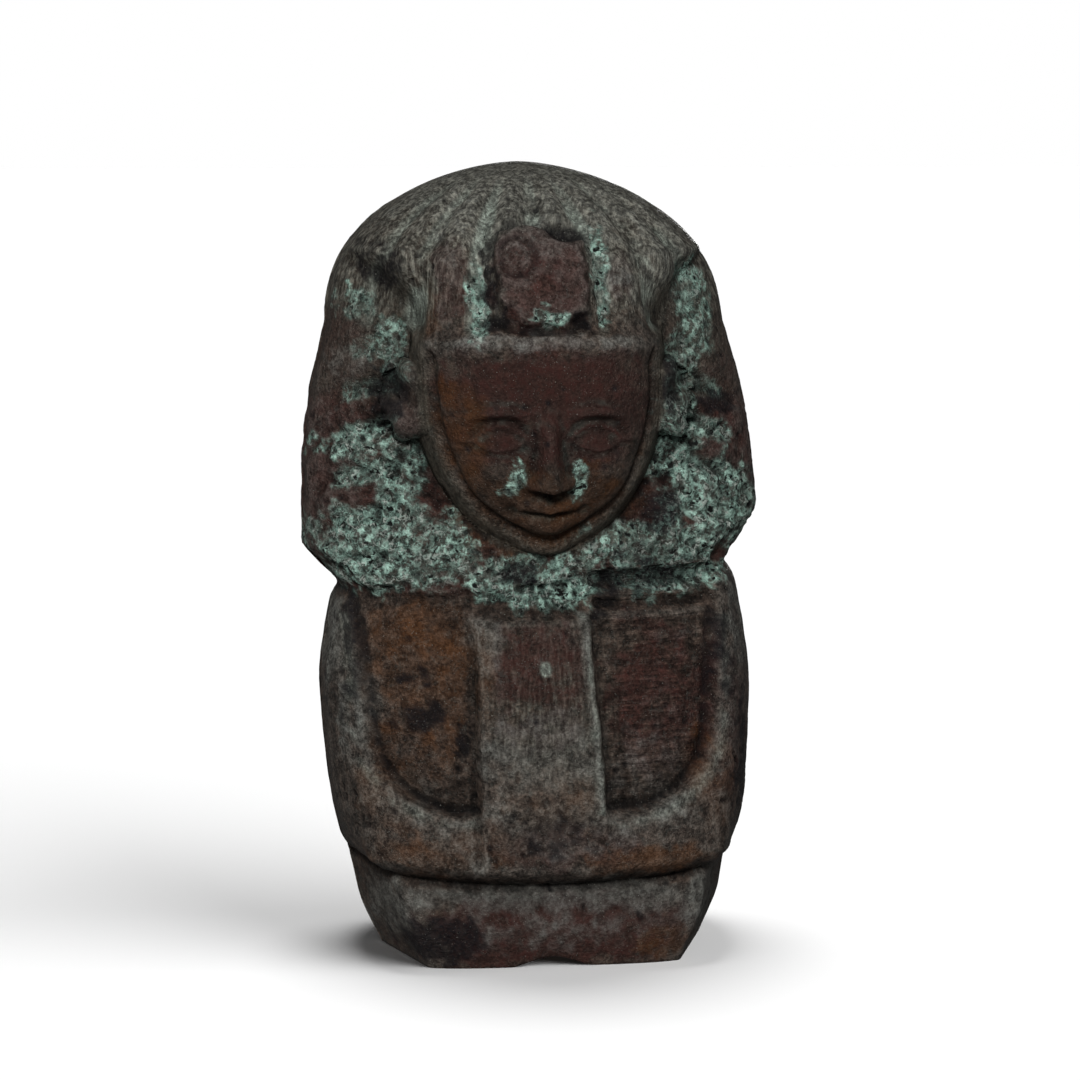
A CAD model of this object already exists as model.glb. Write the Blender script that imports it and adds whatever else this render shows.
"""A small cast bronze bust of a pharaoh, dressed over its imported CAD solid.

The casting is one skin of rings from the foot to the crown, worked out in millimetres from the same
named sizes as the solid. The ribs of the headcloth and the fine lines of the chest are pressed into
it with Geometry Nodes. Wear, pits and crust are then raised from the surface, and kept as masks on
its points, which the bronze's patina reads.
"""

import math
from types import SimpleNamespace

import bpy
import numpy as np
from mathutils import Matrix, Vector, noise


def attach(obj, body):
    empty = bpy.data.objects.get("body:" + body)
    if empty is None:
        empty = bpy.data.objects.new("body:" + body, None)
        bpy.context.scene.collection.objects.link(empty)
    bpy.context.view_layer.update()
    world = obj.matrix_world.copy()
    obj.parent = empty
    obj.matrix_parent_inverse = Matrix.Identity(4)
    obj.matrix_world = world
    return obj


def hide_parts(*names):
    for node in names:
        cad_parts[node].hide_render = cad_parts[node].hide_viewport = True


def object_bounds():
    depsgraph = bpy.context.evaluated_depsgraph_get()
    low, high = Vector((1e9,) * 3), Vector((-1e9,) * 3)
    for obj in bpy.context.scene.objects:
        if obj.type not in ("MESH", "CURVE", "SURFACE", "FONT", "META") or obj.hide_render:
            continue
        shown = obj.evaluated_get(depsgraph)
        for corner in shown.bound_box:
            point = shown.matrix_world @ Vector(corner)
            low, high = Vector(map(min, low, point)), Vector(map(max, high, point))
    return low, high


MM = 0.001

# Driving sizes of the casting, in millimetres
HEIGHT = 80.0
WIDTH = 46.6
DEPTH = 34.6
LEAN = 2.1

# Widths and depths, as shares of the figure's own
FOOT_HALF_WIDTH = 0.356 * WIDTH
LAP_HALF_WIDTH = 0.416 * WIDTH
ARM_HALF_WIDTH = 0.4655 * WIDTH
SHOULDER_HALF_WIDTH = 0.425 * WIDTH
WING_HALF_WIDTH = 0.5 * WIDTH
TEMPLE_HALF_WIDTH = 0.4335 * WIDTH
FACE_HALF_WIDTH = 0.266 * WIDTH
NECKLINE_HALF_WIDTH = 0.193 * WIDTH
ARM_THICKNESS = 0.118 * WIDTH
ARMS_SHIFT = -0.015 * WIDTH
STRIP_LEFT = 0.1534 * WIDTH
STRIP_RIGHT = 0.0923 * WIDTH
TAIL_HALF_WIDTH = 0.1116 * WIDTH
URAEUS_HALF_WIDTH = 0.101 * WIDTH
EAR_WIDTH = 0.0687 * WIDTH
ARCH_HALF_WIDTH = 0.0945 * WIDTH
LAP_FRONT = 0.373 * DEPTH
CHEST_FRONT = 0.3525 * DEPTH
WING_FRONT = 0.2775 * DEPTH
FACE_FRONT = 0.4915 * DEPTH
EAR_FRONT = 0.335 * DEPTH
TORSO_BACK = 0.341 * DEPTH
HOOD_BACK = 0.3757 * DEPTH
CROWN_BACK = 0.075 * DEPTH
ARCH_REACH = 0.29 * DEPTH
ARCH_START = 0.16 * DEPTH

# Heights of the landmarks
LAP_TOP = 0.104 * HEIGHT
ARMS_TOP = 0.2 * HEIGHT
ARMS_WIDEST = 0.35 * HEIGHT
STRIP_TOP = 0.441 * HEIGHT
NECKLINE_LEFT = 0.468 * HEIGHT
NECKLINE_RIGHT = 0.496 * HEIGHT
WING_TIP_LEFT = 0.519 * HEIGHT
WING_TIP_RIGHT = 0.556 * HEIGHT
CHIN = 0.525 * HEIGHT
CHEEKS = 0.74 * HEIGHT
EARS = 0.712 * HEIGHT
EAR_HALF_HEIGHT = 0.055 * HEIGHT
BROW_BAND = 0.784 * HEIGHT
TEMPLES = 0.8 * HEIGHT
URAEUS = 0.865 * HEIGHT
URAEUS_HALF_HEIGHT = 0.0613 * HEIGHT

# Depths and small measures of the carving
ARM_RISE = 2.0
STRIP_RISE = 1.1
STRIP_SPREAD = 0.057
STRIP_BORDER_RISE = 0.4
STRIP_BORDER_INSET = 0.7
HOOD_STEP = 0.7
LAP_GROOVE = 0.8
LAP_SMILE = 1.7
LAP_CHAMFER = 2.9
OPENING_CORNER = 8.0
OPENING_FLARE = 0.08
HAND_END_LOW = 10.0
HAND_END_HIGH = 17.0
STRIPE_DEPTH = 0.5
STRIPE_PITCH = 4.2
STRIPE_SHIFT = 1.7
STRIPE_SLANT = 0.28
DOME_RIBS = 20
DOME_RIB_TURN = -0.02
DOME_RIB_DEPTH = 0.75
LAPPET_LINE_PITCH = 2.3
LAPPET_LINE_DEPTH = 0.14
LAPPET_TOP_DEPTH = 0.8
STRIP_LINE_PITCH = 0.7
STRIP_LINE_DEPTH = 0.09
BAND_RISE = 0.45
URAEUS_RISE = 1.2
RING_X = -2.3
RING_ABOVE_MIDDLE = 1.5
RING_RADIUS = 1.7
NOSE_RISE = 2.6
TAIL_RISE = 1.4
FOOT_ARCH = 1.0
ARCH_MIDDLE = -0.3

# A chip in the strip: its middle's x and z, half its width and half its height
STRIP_CHIP = (-0.4, 30.3, 0.6, 0.8)

# The cloth's rim round the face, as shares of the way out from the cheeks to the head's edge
RIM_INNER = 0.84
RIM_OUTER = 0.97

# How finely the skin is divided
COLUMNS = 300
FRONT_CROWDING = 0.58
EDGE_COLUMN = 0.55
DOME_FOOT = 0.83 * HEIGHT
DOME_RINGS = 62
DOME_CROWDING = 1.5
RING_BANDS = (
    (DOME_FOOT, 0.5 * HEIGHT, 114),
    (0.5 * HEIGHT, 0.2 * HEIGHT, 84),
    (0.2 * HEIGHT, 0, 46),
)
SOLE_RINGS = (0.97, 0.86, 0.7, 0.5, 0.28, 0.1)

# The surface of old metal: sizes of its lumps, and how far they rise or sink
SLOW_LUMPS = 6.0
MIDDLING_LUMPS = 2.2
FINE_LUMPS = 0.9
WANDER_LUMPS = 2.6
PIT_SPACING = 1.5
WANDER = 0.9
SLOW_RISE = 0.16
MIDDLING_RISE = 0.09
WING_ROUGHNESS = 0.3
FINE_RISE = 0.03
CRUST_RISE = 0.36
PIT_DEPTH = 0.35
DARK_DEPTH = 0.16
WORN_OFF = 0.08


def smooth(low, high, t):
    s = np.clip((t - low) / (high - low), 0, 1)
    return s * s * (3 - 2 * s)


def mix(a, b, t):
    return a + (b - a) * t


def hump(distance, reach):
    """A rounded hump, 1 at the middle and 0 beyond one reach from it."""
    return (1 - np.clip(np.abs(distance) / reach, 0, 1) ** 2) ** 2


def soft_max(a, b, blend):
    return np.maximum(a, b) + np.maximum(0, blend - np.abs(a - b)) ** 2 / (4 * blend)


def soft_min(a, b, blend):
    return -soft_max(-a, -b, blend)


def oval(t, power):
    return (1 - np.clip(np.abs(t), 0, 1) ** power) ** (1 / power)


def line(*stops):
    """A smooth line through stops of (height, value), from the lowest to the highest."""
    height = np.array([stop[0] for stop in stops])
    value = np.array([stop[1] for stop in stops])
    after = np.minimum(np.arange(len(stops)) + 1, len(stops) - 1)
    before = np.maximum(np.arange(len(stops)) - 1, 0)
    slope = (value[after] - value[before]) / (height[after] - height[before])

    def at(z):
        i = np.clip(np.searchsorted(height, z), 1, len(stops) - 1)
        span = height[i] - height[i - 1]
        t = np.clip((z - height[i - 1]) / span, 0, 1)
        ends = value[i - 1] * (1 + 2 * t) * (1 - t) ** 2 + value[i] * t * t * (3 - 2 * t)
        return ends + span * t * (1 - t) * (slope[i - 1] * (1 - t) - slope[i] * t)

    return at


def body_half_width(neckline, wing_tip):
    return line(
        (0, FOOT_HALF_WIDTH),
        (0.055 * HEIGHT, mix(FOOT_HALF_WIDTH, LAP_HALF_WIDTH, 0.7)),
        (LAP_TOP, LAP_HALF_WIDTH),
        (ARMS_TOP, mix(LAP_HALF_WIDTH, ARM_HALF_WIDTH, 0.68)),
        (ARMS_WIDEST, ARM_HALF_WIDTH),
        (neckline - 0.03 * HEIGHT, mix(ARM_HALF_WIDTH, SHOULDER_HALF_WIDTH, 0.6)),
        (neckline, SHOULDER_HALF_WIDTH),
        (neckline + 0.01 * HEIGHT, SHOULDER_HALF_WIDTH + 0.3),
        (wing_tip, WING_HALF_WIDTH - 0.2),
        (wing_tip + 0.012 * HEIGHT, WING_HALF_WIDTH),
        (0.64 * HEIGHT, mix(WING_HALF_WIDTH, TEMPLE_HALF_WIDTH, 0.13)),
        (0.72 * HEIGHT, mix(WING_HALF_WIDTH, TEMPLE_HALF_WIDTH, 0.45)),
        (TEMPLES, TEMPLE_HALF_WIDTH),
    )


left_half_width = body_half_width(NECKLINE_LEFT, WING_TIP_LEFT)
right_half_width = body_half_width(NECKLINE_RIGHT, WING_TIP_RIGHT)


def dome_share(z, root):
    """The dome's share of its full size, from 1 at the temples to 0 at the crown."""
    return (1 - np.clip((z - TEMPLES) / (HEIGHT - TEMPLES), 0, 1) ** 2.3) ** root


def half_width(left, z):
    body = np.where(left, left_half_width(z), right_half_width(z))
    return body * dome_share(z, 0.6)


torso_front = line(
    (0, LAP_FRONT - 0.8),
    (0.05 * HEIGHT, LAP_FRONT),
    (LAP_TOP, LAP_FRONT - 0.3),
    (ARMS_TOP, CHEST_FRONT + 0.5),
    (ARMS_WIDEST, CHEST_FRONT),
    (0.46 * HEIGHT, CHEST_FRONT - 1),
    (CHIN, mix(CHEST_FRONT, WING_FRONT, 0.6)),
    (0.6 * HEIGHT, WING_FRONT),
    (0.72 * HEIGHT, WING_FRONT),
    (TEMPLES, WING_FRONT + 1.5),
)
torso_back = line(
    (0, TORSO_BACK - 1),
    (0.07 * HEIGHT, TORSO_BACK),
    (ARMS_WIDEST, TORSO_BACK),
    (0.45 * HEIGHT, TORSO_BACK - 0.4),
    (CHIN, mix(TORSO_BACK, HOOD_BACK, 0.7)),
    (0.65 * HEIGHT, HOOD_BACK),
    (TEMPLES, HOOD_BACK),
)
front_squareness = line(
    (0, 4.5),
    (LAP_TOP, 4),
    (ARMS_TOP, 2.7),
    (0.45 * HEIGHT, 2.6),
    (0.6 * HEIGHT, 2.3),
    (TEMPLES, 2.2),
)
head_half_width = line(
    (CHEEKS, FACE_HALF_WIDTH),
    (BROW_BAND + 0.015 * HEIGHT, FACE_HALF_WIDTH + 0.3),
    (0.845 * HEIGHT, FACE_HALF_WIDTH + 1.9),
    (0.885 * HEIGHT, FACE_HALF_WIDTH + 5.1),
    (0.93 * HEIGHT, TEMPLE_HALF_WIDTH),
)
head_front = line(
    (CHIN - 0.02 * HEIGHT, FACE_FRONT - 1),
    (0.58 * HEIGHT, FACE_FRONT),
    (CHEEKS, FACE_FRONT + 0.3),
    (TEMPLES, FACE_FRONT),
)


# The power of the jaw's curve: 2 is an ellipse, and less draws it in to the chin
JAW = 1.95


def down_face(z):
    """How far down the face a height lies: 0 at the cheeks and above, 1 at the foot of the chin."""
    return np.clip((CHEEKS - z) / (CHEEKS - CHIN + 0.012 * HEIGHT), 0, 1)


def head_height(x, z, half):
    outline = np.minimum(half, head_half_width(z))
    across = np.clip(np.abs(x) / np.maximum(outline, 1e-6), 0, 1)
    out = (across**JAW + down_face(z) ** JAW) ** (1 / JAW)
    return head_front(z) * oval(out, mix(3.2, 2.2, smooth(BROW_BAND, 0.93 * HEIGHT, z)))


def in_ear(x, z):
    """Distance out from the side of the head at ear height, as a share of the ear's size."""
    out = np.maximum(0, np.abs(x) - FACE_HALF_WIDTH)
    return np.hypot(out / EAR_WIDTH, (z - EARS) / EAR_HALF_HEIGHT)


def front_height(x, z, half):
    share = x / np.maximum(half, 1e-6)
    plain = torso_front(z) * oval(share, front_squareness(z))
    chamfer = (half - np.abs(x)) * LAP_CHAMFER
    block = mix(soft_min(plain, chamfer, 0.6), plain, smooth(LAP_TOP, ARMS_TOP, z))
    ear = EAR_FRONT * (1 - smooth(0.5, 1.2, in_ear(x, z)))
    crease = mix(0.9, 3, smooth(BROW_BAND, 0.9 * HEIGHT, z))
    front = soft_max(soft_max(block, head_height(x, z, half), crease), ear, 0.9)
    return dome_share(z, 0.44) * front * smooth(0, 0.02, 1 - np.abs(share))


def back_height(x, z, half):
    squareness = mix(3, 2.4, smooth(0.4 * HEIGHT, 0.55 * HEIGHT, z))
    return torso_back(z) * dome_share(z, 0.5) * oval(x / np.maximum(half, 1e-6), squareness)


def skin(angle, z):
    """The plain skin before any carving. The angle is 0 at the middle of the front."""
    half = half_width(np.sin(angle) < 0, z)
    x = half * np.sin(angle)
    rim = CROWN_BACK * smooth(TEMPLES - 0.05 * HEIGHT, HEIGHT, z)
    front = rim - front_height(x, z, half)
    back = rim + back_height(x, z, half)
    return np.stack([x, np.where(np.cos(angle) > 0, front, back), z], axis=-1)


def lap_line(x):
    return LAP_TOP + LAP_SMILE * (x / LAP_HALF_WIDTH) ** 2


def neckline(x):
    return mix(NECKLINE_LEFT, NECKLINE_RIGHT, smooth(-NECKLINE_HALF_WIDTH, NECKLINE_HALF_WIDTH, x))


def outside_arms(x, z):
    """Distance outside the U-shaped opening that the arms frame, and less than 0 inside it."""
    half = ARM_HALF_WIDTH - ARM_THICKNESS + OPENING_FLARE * (z - ARMS_TOP)
    dx = np.abs(x - ARMS_SHIFT) - half + OPENING_CORNER
    dz = ARMS_TOP + OPENING_CORNER - z
    outside = np.hypot(np.maximum(dx, 0), np.maximum(dz, 0))
    return outside + np.minimum(np.maximum(dx, dz), 0) - OPENING_CORNER


def beside_strip(x, z):
    left, right = strip_sides(z)
    return ((x < left) | (x > right)) & (z < STRIP_TOP)


def ahead(angle):
    """1 on the front half and 0 behind, with a soft change along the flanks."""
    return smooth(-0.35, 0.1, np.cos(angle))


def arm_relief(x, z, front):
    top = neckline(x)
    behind = ARM_HALF_WIDTH - ARM_THICKNESS - 1.4
    back = 0.5 * smooth(behind, behind + 1.6, np.abs(x))
    outside = outside_arms(x, z)
    inner = mix(back, 0.75 * smooth(-0.3, 0.4, outside) + 0.25 * smooth(0, 2.5, outside), front)
    along_hand = smooth(HAND_END_LOW, HAND_END_LOW + 1.5, z)
    along_hand = along_hand * (1 - smooth(HAND_END_HIGH - 1.5, HAND_END_HIGH, z))
    hand_end = -0.5 * hump(x + STRIP_LEFT + 0.3, 0.45) * along_hand
    seam = front * (hand_end - 0.4 * hump(outside + 0.5, 0.5) * beside_strip(x, z))
    rounding = smooth(-0.2, 2.0, z - lap_line(x))
    return (ARM_RISE * inner + seam) * rounding * (1 - smooth(top - 1.5, top + 0.3, z))


def strip_sides(z):
    down = STRIP_TOP - z
    return -STRIP_LEFT, STRIP_RIGHT + STRIP_SPREAD * down


def strip_relief(x, z):
    down = STRIP_TOP - z
    left, right = strip_sides(z)
    inside = smooth(left - 0.5, left + 0.3, x) * (1 - smooth(right - 0.25, right + 0.25, x))
    rise = mix(STRIP_RISE, ARM_RISE, smooth(0, STRIP_TOP - ARMS_TOP, down))
    border = STRIP_BORDER_RISE * hump(x - right + STRIP_BORDER_INSET, 0.8)
    border = border * smooth(ARMS_TOP - 1, ARMS_TOP + 1, z)
    return (rise * inside + border) * smooth(-0.4, 0.3, down) * smooth(-0.3, 2.6, z - lap_line(x))


def in_cloth(x, z):
    edge = neckline(x)
    return smooth(edge - 0.3, edge + 0.5, z) * (1 - smooth(0.78 * HEIGHT, 0.84 * HEIGHT, z))


def in_opening(x, z):
    """Inside the opening between the arms, up to the neckline."""
    return smooth(0.2, 1.2, -outside_arms(x, z)) * (z < neckline(x) + 1)


def in_tail(x, z):
    half = TAIL_HALF_WIDTH * mix(0.6, 1, smooth(0.42 * HEIGHT, 0.62 * HEIGHT, z))
    long = smooth(0.345 * HEIGHT, 0.355 * HEIGHT, z) * (1 - smooth(0.6 * HEIGHT, 0.68 * HEIGHT, z))
    return long * (1 - smooth(half - 0.5, half + 0.5, np.abs(x)))


def band_relief(x, z):
    across = 1 - smooth(FACE_HALF_WIDTH - 2.4, FACE_HALF_WIDTH, np.abs(x))
    middle = BROW_BAND + 0.12 * np.sin(0.9 * x) - 0.004 * x * x
    return BAND_RISE * across * hump(z - middle, 1.6)


def out_from_uraeus(x, z):
    """How far out a point lies from the middle of the worn brow panel: 1 on its edge."""
    return np.hypot((x / URAEUS_HALF_WIDTH) ** 2, ((z - URAEUS) / URAEUS_HALF_HEIGHT) ** 2) ** 0.5


def off_ring(x, z):
    """Distance from the faint ring on the brow panel, out from its circle."""
    return np.hypot(x - RING_X, z - URAEUS - RING_ABOVE_MIDDLE) - RING_RADIUS


def uraeus_relief(x, z):
    rise = z - URAEUS
    away = out_from_uraeus(x, z) + 0.03 * np.sin(2.1 * x + 1) + 0.035 * np.sin(2.9 * rise + 0.5 * x)
    panel = URAEUS_RISE * (1 - smooth(0.82, 1.02, away))
    ditch = -0.35 * hump(away - 1.06, 0.12) * (1 - smooth(2, 4, x))
    side_line = 0.45 * hump(x - URAEUS_HALF_WIDTH - 0.5, 0.6) * hump(rise, URAEUS_HALF_HEIGHT + 0.8)
    ring = -0.4 * hump(off_ring(x, z), 0.42)
    hollow = -1.9 * hump(np.hypot((x - 2.6) / 1.5, rise - 4.2), 1.7)
    pits = -0.9 * hump(np.hypot(x + 3.4, rise + 4), 1.3) - 0.8 * hump(np.hypot(x - 3.2, rise + 4.3), 1.1)
    return panel + ditch + side_line + ring + hollow + pits


# A plain face on the sculptor's thirds: chin to nose, nose to brow, and brow to headcloth
THIRD = (BROW_BAND - CHIN) / 3
NOSE_FOOT = CHIN + THIRD
BROW = CHIN + 2 * THIRD
EYE_WIDTH = 2 * (FACE_HALF_WIDTH - 0.9) / 5
EYE_LEVEL = BROW - 0.3 * THIRD
MOUTH = NOSE_FOOT - THIRD / 3


def nose_relief(x, z):
    along = np.clip((BROW - z) / (BROW - NOSE_FOOT), 0, 1)
    half = mix(1.0, EYE_WIDTH / 2 - 0.4, along**2)
    ends = smooth(NOSE_FOOT - 0.3, NOSE_FOOT + 0.7, z) * (1 - smooth(BROW - 1, BROW + 1, z))
    ridge = NOSE_RISE * mix(0.35, 1, along**1.2) * ends * hump(x, half * 1.3)
    tip = 0.5 * hump(np.hypot(x / 1.9, (z - NOSE_FOOT - 1.1) / 1.4), 1)
    wings = 0.75 * hump(np.hypot((np.abs(x) - 1.8) / 1.1, (z - NOSE_FOOT - 0.8) / 1.1), 1)
    return ridge + tip + wings


def eye_relief(x, z):
    """A closed calm almond between two lids, under a soft brow, with a short line drawn outwards."""
    across = np.abs(x) - EYE_WIDTH
    share = np.clip(np.abs(across) / (EYE_WIDTH / 2 + 0.2), 0, 1)
    rise = z - EYE_LEVEL
    upper, lower = 1.3 * (1 - share**2) ** 0.8, 0.95 * (1 - share**2)
    socket = -1.3 * hump(np.hypot(across / 3.5, (rise - 0.3) / 2.5), 1)
    ball = 1.25 * hump(np.hypot(across / 2.7, rise / 1.7), 1)
    near = hump(across, EYE_WIDTH / 2 + 0.9)
    lids = (0.6 * hump(rise - upper, 0.5) + 0.45 * hump(rise + lower, 0.45)) * near
    tail = 0.4 * hump(rise + 0.1, 0.4) * smooth(1.6, 2.4, across) * (1 - smooth(3.2, 4, across))
    brow_line = BROW + 0.5 - 0.06 * across**2
    brow = 0.85 * hump(z - brow_line, 0.95) * hump(across, EYE_WIDTH * 0.85)
    return socket + ball + lids + tail + brow


def mouth_relief(x, z):
    half = EYE_WIDTH * 0.76
    rise = z - MOUTH
    upper = 0.95 * hump(rise - 0.75 + 0.25 * hump(x, 0.8), 0.95) * hump(x, half)
    lower = 1.15 * hump(rise + 0.95, 1.1) * hump(x, half * 0.8)
    parting = -0.75 * hump(rise, 0.4) * hump(x, half * 1.05)
    corners = -0.4 * hump(np.hypot((np.abs(x) - half) / 1.1, rise / 1.1), 1)
    groove = -0.3 * hump(x, 0.75) * hump(rise - 2.1, 1.1)
    under = -0.4 * hump(np.hypot(x / 3.2, (rise + 2.6) / 0.9), 1)
    chin = 0.9 * hump(np.hypot(x / 3.6, (z - CHIN - 1.7) / 1.9), 1)
    cheeks = 0.5 * hump(np.hypot((np.abs(x) - 5.6) / 3.4, (z - NOSE_FOOT - 1.2) / 4.2), 1)
    return upper + lower + parting + corners + groove + under + chin + cheeks


def out_from_face(x, z):
    """How far out a point lies on the head: 0 at the middle of the cheeks, 1 at the head's edge."""
    across = np.clip(np.abs(x) / head_half_width(z), 0, 1)
    return (across**JAW + down_face(z) ** JAW) ** (1 / JAW)


def rim_relief(x, z):
    """The cloth's smooth rim round the face, set off by a narrow groove."""
    below_band = 1 - smooth(BROW_BAND - 1.2, BROW_BAND, z)
    out = out_from_face(x, z)
    groove = -0.55 * hump(out - RIM_INNER + 0.01, 0.04)
    roll = 0.2 * smooth(RIM_INNER, RIM_INNER + 0.06, out) * (1 - smooth(RIM_OUTER, 1, out))
    return (groove + roll) * below_band


def ear_relief(x, z):
    away = np.hypot((np.abs(x) - FACE_HALF_WIDTH - 1.3) / 1.9, (z - EARS - 0.5) / 3.8)
    return 0.55 * hump(away - 0.8, 0.35) - 1.1 * hump(away, 0.62)


def relief(x, z, angle):
    """The carving, which fades towards the flanks, so that they keep their outline."""
    front = np.cos(angle) > 0
    flank = 1 - 0.8 * smooth(0.75, 1, np.abs(np.sin(angle)))
    strip = np.where(front, strip_relief(x, z), 0)
    arms = np.maximum(arm_relief(x, z, ahead(angle)), strip)
    both = flank * (arms + HOOD_STEP * in_cloth(x, z)) - LAP_GROOVE * hump(z - lap_line(x), 0.6)
    head = band_relief(x, z) + uraeus_relief(x, z)
    face = nose_relief(x, z) + eye_relief(x, z) + mouth_relief(x, z)
    face = face + rim_relief(x, z) + ear_relief(x, z)
    return both + np.where(front, head + face, TAIL_RISE * in_tail(x, z))


def follow_head(angle, z):
    """Draws the columns in or out, so that one of them runs down the edge of the head."""
    across = np.sin(angle)
    edge = head_half_width(z) * oval(down_face(z), JAW)
    share = np.clip(edge / np.maximum(half_width(across < 0, z), 1e-6), 0.01, 1)
    wanted = np.clip(np.log(share) / math.log(EDGE_COLUMN), 0.75, 1.5)
    reach = smooth(CHIN - 0.1 * HEIGHT, CHIN, z) * (1 - smooth(0.88 * HEIGHT, 0.98 * HEIGHT, z))
    drawn = np.sign(across) * np.arcsin(np.abs(across) ** mix(1, wanted, reach))
    return np.where(np.cos(angle) > 0, drawn, angle)


def ring_heights():
    """Heights of the rings from the crown to the foot, close together where the carving is fine."""
    dome = HEIGHT - DOME_FOOT
    rows = [HEIGHT - dome * (i / DOME_RINGS) ** DOME_CROWDING for i in range(DOME_RINGS)]
    for top, bottom, count in RING_BANDS:
        rows += [mix(top, bottom, i / count) for i in range(count)]
    return rows + [0.0]


def casting_points():
    """The carved skin as a grid: one row for each ring and one column for each angle."""
    heights = ring_heights()
    turn = np.arange(COLUMNS) / COLUMNS * 2 * math.pi - math.pi / 2
    turn, z = np.meshgrid(turn, heights)
    angle = follow_head(turn - FRONT_CROWDING * np.sin(turn), z)
    z = z + (lap_line(skin(angle, z)[..., 0]) - LAP_TOP) * hump(z - LAP_TOP, LAP_TOP)
    step = 1e-3
    point = skin(angle, z)
    along = skin(angle + step, z) - skin(angle - step, z)
    upward = skin(angle, np.minimum(z + step, HEIGHT)) - skin(angle, np.maximum(z - step, 0))
    outward = np.cross(along, upward)
    length = np.linalg.norm(outward, axis=-1, keepdims=True)
    outward = np.divide(outward, length, out=np.zeros_like(outward), where=length > 0)
    height = relief(point[..., 0], z, angle) * (1 - smooth(HEIGHT - 0.5, HEIGHT, z))
    return point + outward * height[..., None], angle, point


def close_grid(rows):
    """Quads between the rings, and a fan of triangles at the crown and under the foot."""
    crown, foot = rows * COLUMNS, rows * COLUMNS + 1
    faces = []
    for row in range(rows - 1):
        for column in range(COLUMNS):
            after = (column + 1) % COLUMNS
            a, b = row * COLUMNS + column, row * COLUMNS + after
            faces.append((a, a + COLUMNS, b + COLUMNS, b))
    last = (rows - 1) * COLUMNS
    for column in range(COLUMNS):
        after = (column + 1) % COLUMNS
        faces.append((crown, column, after))
        faces.append((foot, last + after, last + column))
    return faces


def patches(x, z, places):
    """The strongest of several soft-edged ovals: x, z, half width, half height and strength."""
    total = np.zeros_like(x)
    for middle_x, middle_z, half_x, half_z, strength in places:
        away = np.hypot((x - middle_x) / half_x, (z - middle_z) / half_z)
        total = np.maximum(total, strength * (1 - smooth(0.55, 1.35, away)))
    return total


def lumps(points, size, seed):
    """Noise about 0, whose lumps are about the given size in millimetres."""
    start = Vector((seed * 17.3, seed * 5.1, seed * 9.7))
    at = [Vector(point) / size + start for point in points]
    return np.array([noise.fractal(place, 0.7, 2.1, 3) for place in at])


def cells(points, size, seed):
    """Distance to the nearest of a scatter of points, 0 at each and about 1 half way between."""
    start = Vector((seed * 11.9, seed * 3.7, seed * 7.1))
    at = [Vector(point) / size + start for point in points]
    return np.array([noise.voronoi(place)[0][0] for place in at])


# Where the patina changes, in millimetres from the middle of the front and up from the foot
CRUSTED = [
    (-17.4, 66.3, 1.9, 1.4, 0.7),
    (-14.2, 62.0, 1.7, 3.6, 1.0),
    (-13.6, 50.0, 2.6, 4.6, 0.95),
    (-18.6, 52.0, 3.6, 1.2, 0.8),
    (-15.0, 42.0, 8.6, 4.4, 1.0),
    (16.2, 65.6, 2.2, 4.4, 1.0),
    (14.6, 60.6, 1.6, 4.6, 1.0),
    (13.6, 52.5, 2.8, 6.4, 1.0),
    (18.6, 45.8, 5.0, 4.4, 0.95),
    (-1.0, 38.8, 7.6, 3.0, 1.0),
    (9.6, 42.6, 7.4, 3.0, 1.0),
    (12.6, 39.0, 6.0, 2.0, 0.75),
    (-6.2, 66.6, 1.0, 3.8, 0.85),
    (6.0, 69.6, 0.7, 5.2, 0.7),
    (0.6, 65.4, 1.6, 1.0, 0.9),
    (-3.0, 50.4, 1.0, 2.0, 0.64),
    (3.0, 50.4, 0.9, 2.0, 0.6),
]
REDDENED = [
    (-18.6, 62.2, 2.8, 4.6, 1.0),
    (-18.6, 56.0, 3.2, 3.2, 1.0),
    (-18.6, 48.2, 4.6, 2.4, 1.0),
    (19.0, 59.4, 2.2, 2.0, 1.0),
    (17.8, 53.4, 2.8, 3.4, 1.0),
    (0.0, 69.0, 4.8, 5.0, 1.3),
    (-8.8, 69.0, 2.0, 4.2, 1.0),
    (7.8, 69.4, 1.2, 2.8, 0.9),
    (0.0, 57.0, 10.5, 6.5, 1.0),
    (10.8, 27.0, 5.2, 8.6, 0.75),
    (-0.6, 30.4, 5.6, 5.2, 0.8),
    (0.0, 3.6, 15.0, 3.8, 1.1),
    (16.6, 24.0, 4.0, 9.0, 0.7),
    (0.0, 12.6, 9.0, 2.4, 0.7),
    (-1.0, 24.4, 4.6, 2.0, 0.6),
]
WARMED = [
    (0.0, 46.2, 9.5, 5.4, 1.0),
    (-8.0, 54.0, 2.6, 5.4, 0.9),
    (-11.6, 66.0, 1.8, 3.2, 0.9),
    (-12.6, 31.6, 5.6, 5.6, 1.0),
    (-6.6, 30.0, 1.6, 5.0, 0.6),
    (-12.0, 24.0, 4.0, 5.0, 0.5),
    (-12.0, 11.6, 6.0, 1.6, 0.8),
    (9.0, 11.0, 7.0, 1.4, 1.0),
    (11.0, 2.6, 4.0, 2.0, 0.7),
    (9.6, 48.6, 1.6, 4.6, 0.6),
    (-15.6, 19.0, 3.0, 6.0, 0.65),
    (-7.0, 12.6, 6.0, 2.4, 0.65),
    (16.0, 18.0, 3.0, 6.0, 0.6),
    (0.0, 17.0, 5.0, 4.0, 0.4),
]
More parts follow.
